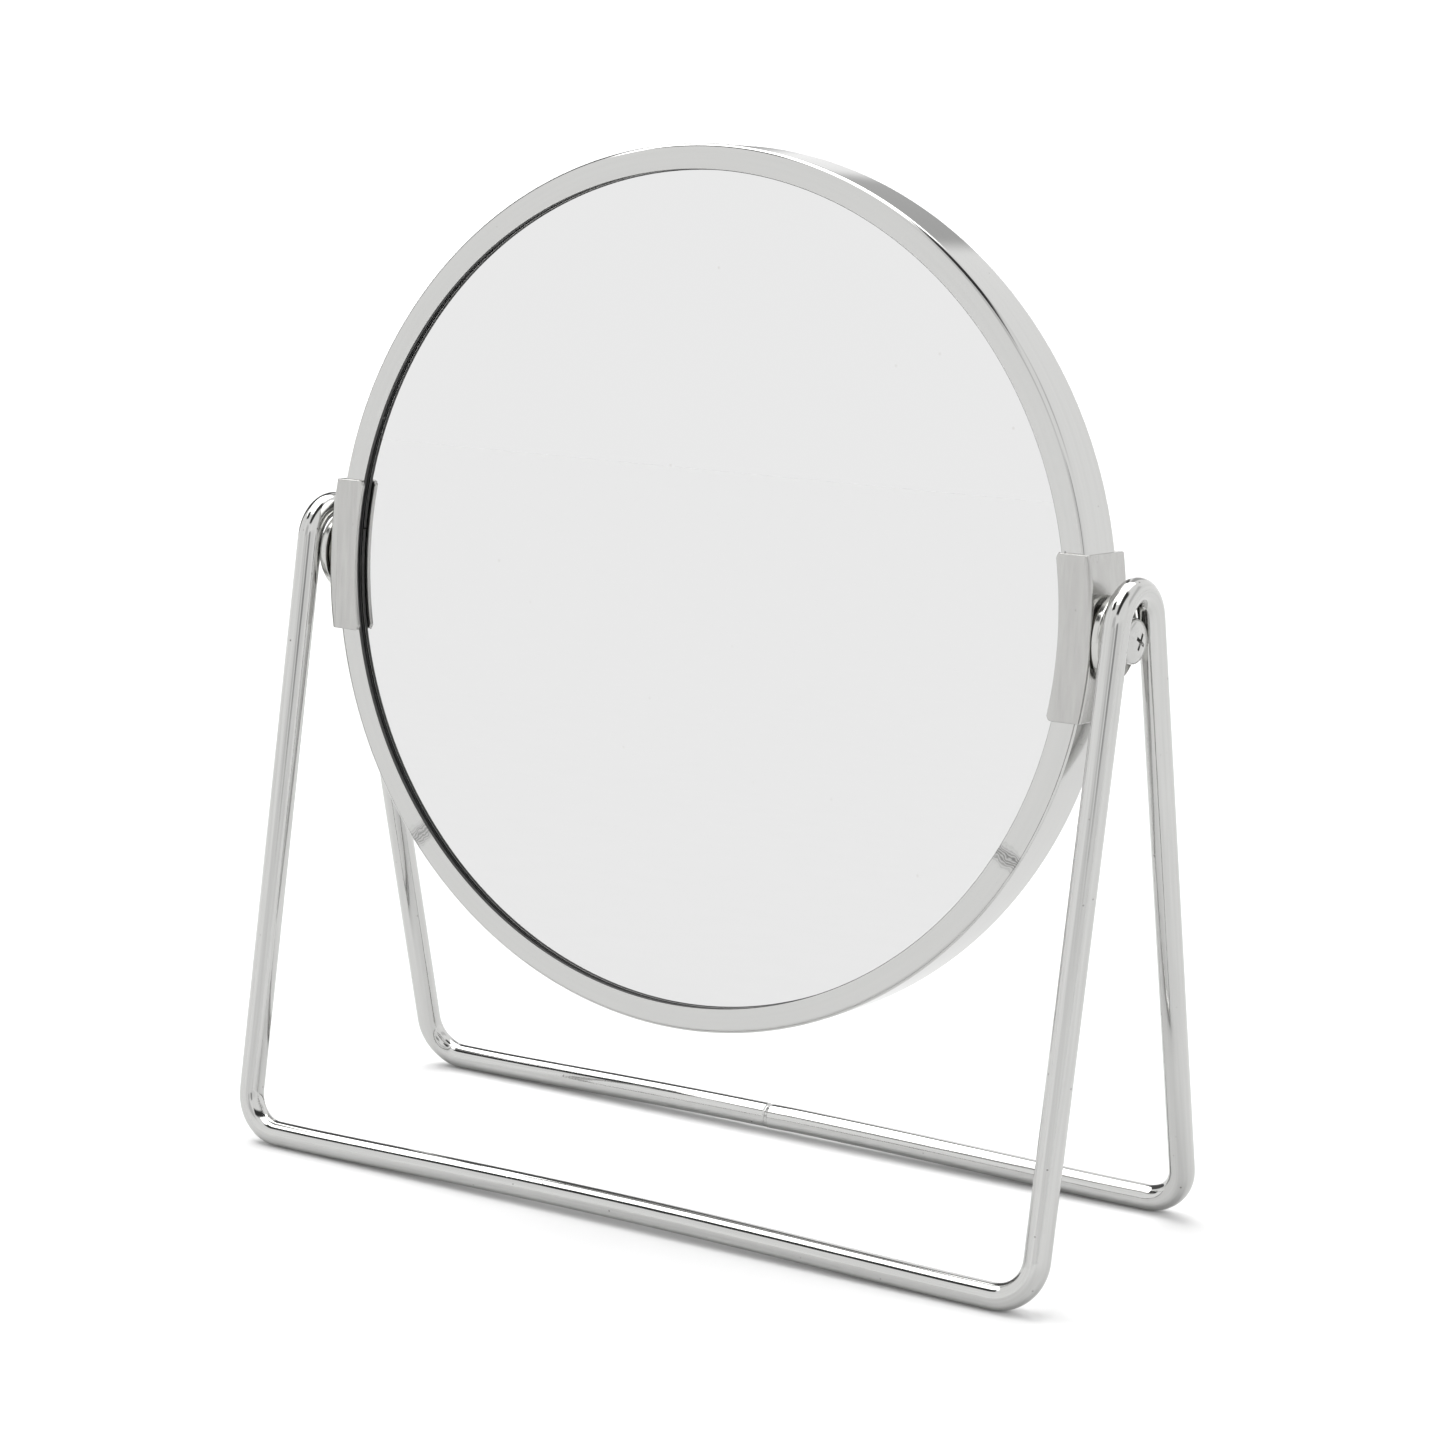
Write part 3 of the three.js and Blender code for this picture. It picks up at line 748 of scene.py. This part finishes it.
def buildScrew(name, side):
    shank, end, neck, head = screw["shank"], screw["end"], screw["headInner"], screw["headRadius"]
    top, crown = neck + screw["headHeight"], screw["crown"]
    bm = bmesh.new()
    points = [(0, end), (shank - screw["endChamfer"], end), (shank, end + screw["endChamfer"]),
              (shank, neck - screw["neckFillet"]), (shank + screw["neckFillet"], neck),
              (head - screw["headChamfer"], neck), (head, neck + screw["headChamfer"]),
              (head, top - crown)]
    for i in range(1, screw["crownSteps"]):
        turn = math.pi / 2 * i / screw["crownSteps"]
        radius = head * math.cos(turn) ** screw["crownShape"]
        points.append((radius, top - crown + crown * math.sin(turn)))
    points.append((0, top))
    verts = [bm.verts.new((radius, y, 0)) for radius, y in points]
    for first, second in zip(verts, verts[1:]):
        bm.edges.new((first, second))
    spinOutline(bm, 0, math.tau, screw["segments"])
    bm = cutAway(bm, crossPunch(top, screw["twist"][name]))
    makePiece(name + "PivotScrew", alongPivot(bm, side), [screwPlate], "mirror_head",
              name + "_pivot_screw", headPlace, sharp=screw["sharpAngle"])


for name, side in (("left", -1), ("right", 1)):
    buildClip(name, side)
    buildCup(name, side)
    buildWasher(name, side, "friction", naturalNylon, "stand", standPlace)
    buildWasher(name, side, "spring", bareSteel, "mirror_head", headPlace)
    buildScrew(name, side)


# glasses and what holds them

glass = {"radius": 82.3 * mm, "thickness": 2 * mm, "recess": 1.45 * mm, "concave": 900 * mm,
         "edge": 0.25 * mm, "segments": 192, "rings": 24}


def buildFrontGlass():
    face = -rim["halfDepth"] + glass["recess"]
    place = Matrix.Translation((0, face, 0)) @ Matrix.Rotation(math.pi / 2, 4, "X")
    bm = bmesh.new()
    bmesh.ops.create_circle(bm, cap_ends=True, segments=glass["segments"], radius=glass["radius"],
                            matrix=place)
    made = bmesh.ops.extrude_face_region(bm, geom=bm.faces[:])["geom"]
    lifted = [item for item in made if isinstance(item, bmesh.types.BMVert)]
    bmesh.ops.translate(bm, verts=lifted, vec=(0, glass["thickness"], 0))
    rims = [edge for edge in bm.edges if edge.calc_face_angle(0) > math.pi / 4]
    bmesh.ops.bevel(bm, geom=rims, offset=glass["edge"], offset_type="OFFSET", affect="EDGES",
                    segments=meshing["edgeSteps"], profile=0.5, material=-1)
    for polygon in bm.faces:
        polygon.material_index = 0 if len(polygon.verts) > 4 else 1
    makePiece("frontGlass", bm, [silver, glassEdge], "mirror_head", "front_glass",
              headPlace)


def buildRearGlass():
    edgeY = rim["halfDepth"] - glass["recess"]
    points = []
    for i in range(glass["rings"] + 1):
        radius = (glass["radius"] - glass["edge"]) * i / glass["rings"]
        points.append((radius, edgeY - (glass["radius"] ** 2 - radius ** 2) / (2 * glass["concave"])))
    points.append((glass["radius"], points[-1][1] - glass["edge"]))
    inner = [(radius, y - glass["thickness"]) for radius, y in points[-2::-1]]
    points.append((glass["radius"], inner[0][1] + glass["edge"]))
    bm = bmesh.new()
    verts = [bm.verts.new((radius, y, 0)) for radius, y in points + inner]
    for first, second in zip(verts, verts[1:]):
        bm.edges.new((first, second))
    spinOutline(bm, 0, math.tau, glass["segments"])
    limit = glass["radius"] - 1.5 * glass["edge"]
    for polygon in bm.faces:
        centre = polygon.calc_center_median()
        polygon.material_index = 0 if math.hypot(centre.x, centre.z) < limit else 1
    makePiece("rearGlass", bm, [silver, glassEdge], "mirror_head", "rear_glass",
              headPlace)


gasket = {"innerRadius": 80.4 * mm, "outerRadius": 82.3 * mm, "thickness": 0.45 * mm, "gap": 0.1 * mm,
          "edge": 0.12 * mm}


def buildGasket(name, side):
    face = rim["halfDepth"] - rim["sheet"] - gasket["gap"]
    back = face - gasket["thickness"]
    bm = turnedPiece([
        (gasket["innerRadius"], back, gasket["edge"]), (gasket["outerRadius"], back, gasket["edge"]),
        (gasket["outerRadius"], face, gasket["edge"]), (gasket["innerRadius"], face, gasket["edge"]),
    ], glass["segments"])
    if side < 0:
        bmesh.ops.rotate(bm, verts=bm.verts, cent=(0, 0, 0), matrix=Matrix.Rotation(math.pi, 3, "X"))
    makePiece(name + "Gasket", bm, [gasketRubber], "mirror_head", name + "_gasket",
              headPlace)


buildFrontGlass()
buildRearGlass()
buildGasket("front", -1)
buildGasket("rear", 1)


# hidden CAD pieces keep their shape and get their own finish
def dress(node, material):
    mesh = frame["nodes"][node].data
    mesh.materials.clear()
    mesh.materials.append(material)


dress("spacer_ring", fibreBoard)
dress("left_nut_plate", bareSteel)
dress("right_nut_plate", bareSteel)
print("pieces done")


# studio: pale floor, light walls with a few shaded patches, and overhead a wide bright panel, a dark
# opening on its right and a dark slot across its near left corner, as limits on a ceiling one unit up

studio = {
    "floorSize": 24, "floorCells": 8, "floorTone": (0.93, 0.93, 0.93, 1),
    "floorGrain": (0.91, 0.91, 0.91, 1), "floorGrainScale": 60.0, "floorGrainDetail": 4.0,
    "floorRoughness": 0.9, "floorSheen": 0.770,  # the share reflections see, to match the walls
    "backdrop": 1.25, "wallLight": 1.04, "lowestSlope": 0.05,
    "panelX": (-1.08, 0.18), "panelY": (-0.47, 0.85), "panelSoftness": 0.06, "panelLight": 3.7,
    "openingX": (0.08, 0.58), "openingY": (-1.1, 0.2), "openingSoftness": 0.1, "openingLight": 0.05,
    "slotX": (-0.95, -0.4), "slotY": (-0.75, -0.28), "slotSoftness": 0.03, "slotLight": 0.05,
    "shades": [  # azimuth and elevation limits in degrees, softness, light left
        ((-13, 12), (16, 37), 5, 0.7),
        ((4, 17), (8, 15), 2, 0.78),
        ((26, 41), (6.5, 22), 2, 0.42),
        ((-17, 74), (-6, 18), 5, 0.88),
        ((-149, -98), (-2, 46), 2, 0.1),
        ((100, 150), (26, 40), 4, 0.7),
        ((-172, -154), (14, 50), 2, 0.5),
    ],
}


def buildFloor():
    bm = bmesh.new()
    bmesh.ops.create_grid(bm, x_segments=studio["floorCells"], y_segments=studio["floorCells"],
                          size=studio["floorSize"] / 2)
    mesh = bpy.data.meshes.new("floor")
    bm.to_mesh(mesh)
    bm.free()
    floor = bpy.data.objects.new("floor", mesh)
    scene.collection.objects.link(floor)
    material, tree, shader, place = newMaterial("palePaper")
    grain = addNode(tree, "ShaderNodeTexNoise", {
        "Scale": studio["floorGrainScale"], "Detail": studio["floorGrainDetail"]})
    tone = addNode(tree, "ShaderNodeMix", {"A": studio["floorGrain"], "B": studio["floorTone"]},
                   data_type="RGBA")
    rays = addNode(tree, "ShaderNodeLightPath")
    dimmer = combine(tree, "MULTIPLY_ADD", rays.outputs["Is Glossy Ray"], studio["floorSheen"] - 1, 1.0)
    dimmed = addNode(tree, "ShaderNodeVectorMath", operation="SCALE")
    tree.links.new(place.outputs["Object"], grain.inputs["Vector"])
    tree.links.new(grain.outputs["Fac"], tone.inputs["Factor"])
    tree.links.new(tone.outputs["Result"], dimmed.inputs["Vector"])
    tree.links.new(dimmer, dimmed.inputs["Scale"])
    tree.links.new(dimmed.outputs["Vector"], shader.inputs["Base Color"])
    shader.inputs["Roughness"].default_value = studio["floorRoughness"]
    shader.inputs["Specular IOR Level"].default_value = 0.0
    mesh.materials.append(material)


# a soft-edged window between two values
def window(tree, source, limits, softness):
    low, high = limits
    rise = ramp(tree, source, low - softness, low + softness)
    fall = ramp(tree, source, high - softness, high + softness, rising=False)
    return combine(tree, "MULTIPLY", rise, fall)


def buildWorld():
    world = bpy.data.worlds.new("studio")
    scene.world = world
    world.use_nodes = True
    tree = world.node_tree
    background = tree.nodes["Background"]
    direction = addNode(tree, "ShaderNodeTexCoord")
    axes = addNode(tree, "ShaderNodeSeparateXYZ")
    tree.links.new(direction.outputs["Generated"], axes.inputs["Vector"])
    x, y, height = axes.outputs["X"], axes.outputs["Y"], axes.outputs["Z"]

    up = combine(tree, "MAXIMUM", height, studio["lowestSlope"])
    across, along = combine(tree, "DIVIDE", x, up), combine(tree, "DIVIDE", y, up)

    def overhead(name):
        softness = studio[name + "Softness"]
        return combine(tree, "MULTIPLY", window(tree, across, studio[name + "X"], softness),
                       window(tree, along, studio[name + "Y"], softness))

    towardsFront = combine(tree, "MULTIPLY", y, -1.0)
    azimuth = combine(tree, "DEGREES", combine(tree, "ARCTAN2", x, towardsFront))
    elevation = combine(tree, "DEGREES", combine(tree, "ARCSINE", height))
    seen = studio["wallLight"]
    for azimuths, elevations, softness, light in studio["shades"]:
        shade = combine(tree, "MULTIPLY", window(tree, azimuth, azimuths, softness),
                        window(tree, elevation, elevations, softness))
        kept = combine(tree, "MULTIPLY_ADD", shade, light - 1, 1.0)
        seen = combine(tree, "MULTIPLY", seen, kept)
    for name in ("panel", "opening", "slot"):
        shape = overhead(name)
        outside = combine(tree, "SUBTRACT", 1.0, shape)
        inside = combine(tree, "MULTIPLY", shape, studio[name + "Light"])
        seen = combine(tree, "MULTIPLY_ADD", seen, outside, inside)

    rays = addNode(tree, "ShaderNodeLightPath")
    fromCamera = rays.outputs["Is Camera Ray"]
    otherwise = combine(tree, "SUBTRACT", 1.0, fromCamera)
    backdrop = combine(tree, "MULTIPLY", fromCamera, studio["backdrop"])
    strength = combine(tree, "MULTIPLY_ADD", seen, otherwise, backdrop)
    tree.links.new(strength, background.inputs["Strength"])
    background.inputs["Color"].default_value = (1, 1, 1, 1)


buildFloor()
buildWorld()
scene.view_settings.view_transform = "Standard"
scene.view_settings.look = "None"

# camera to the right of the front and a little above, level but for a third of a degree

view = {"place": (0.3663, -0.572, 0.2373), "target": (0.0005, 0.0057, 0.0915), "lens": 89.28,
        "sensor": 36, "roll": math.radians(0.373)}


def buildCamera():
    data = bpy.data.cameras.new("camera")
    data.sensor_width = view["sensor"]
    data.lens = view["lens"]
    camera = bpy.data.objects.new("camera", data)
    scene.collection.objects.link(camera)
    towards = Vector(view["target"]) - Vector(view["place"])
    turn = towards.to_track_quat("-Z", "Y").to_matrix().to_4x4() @ Matrix.Rotation(view["roll"], 4, "Z")
    camera.matrix_world = Matrix.Translation(view["place"]) @ turn
    scene.camera = camera


buildCamera()

print("studio ready")
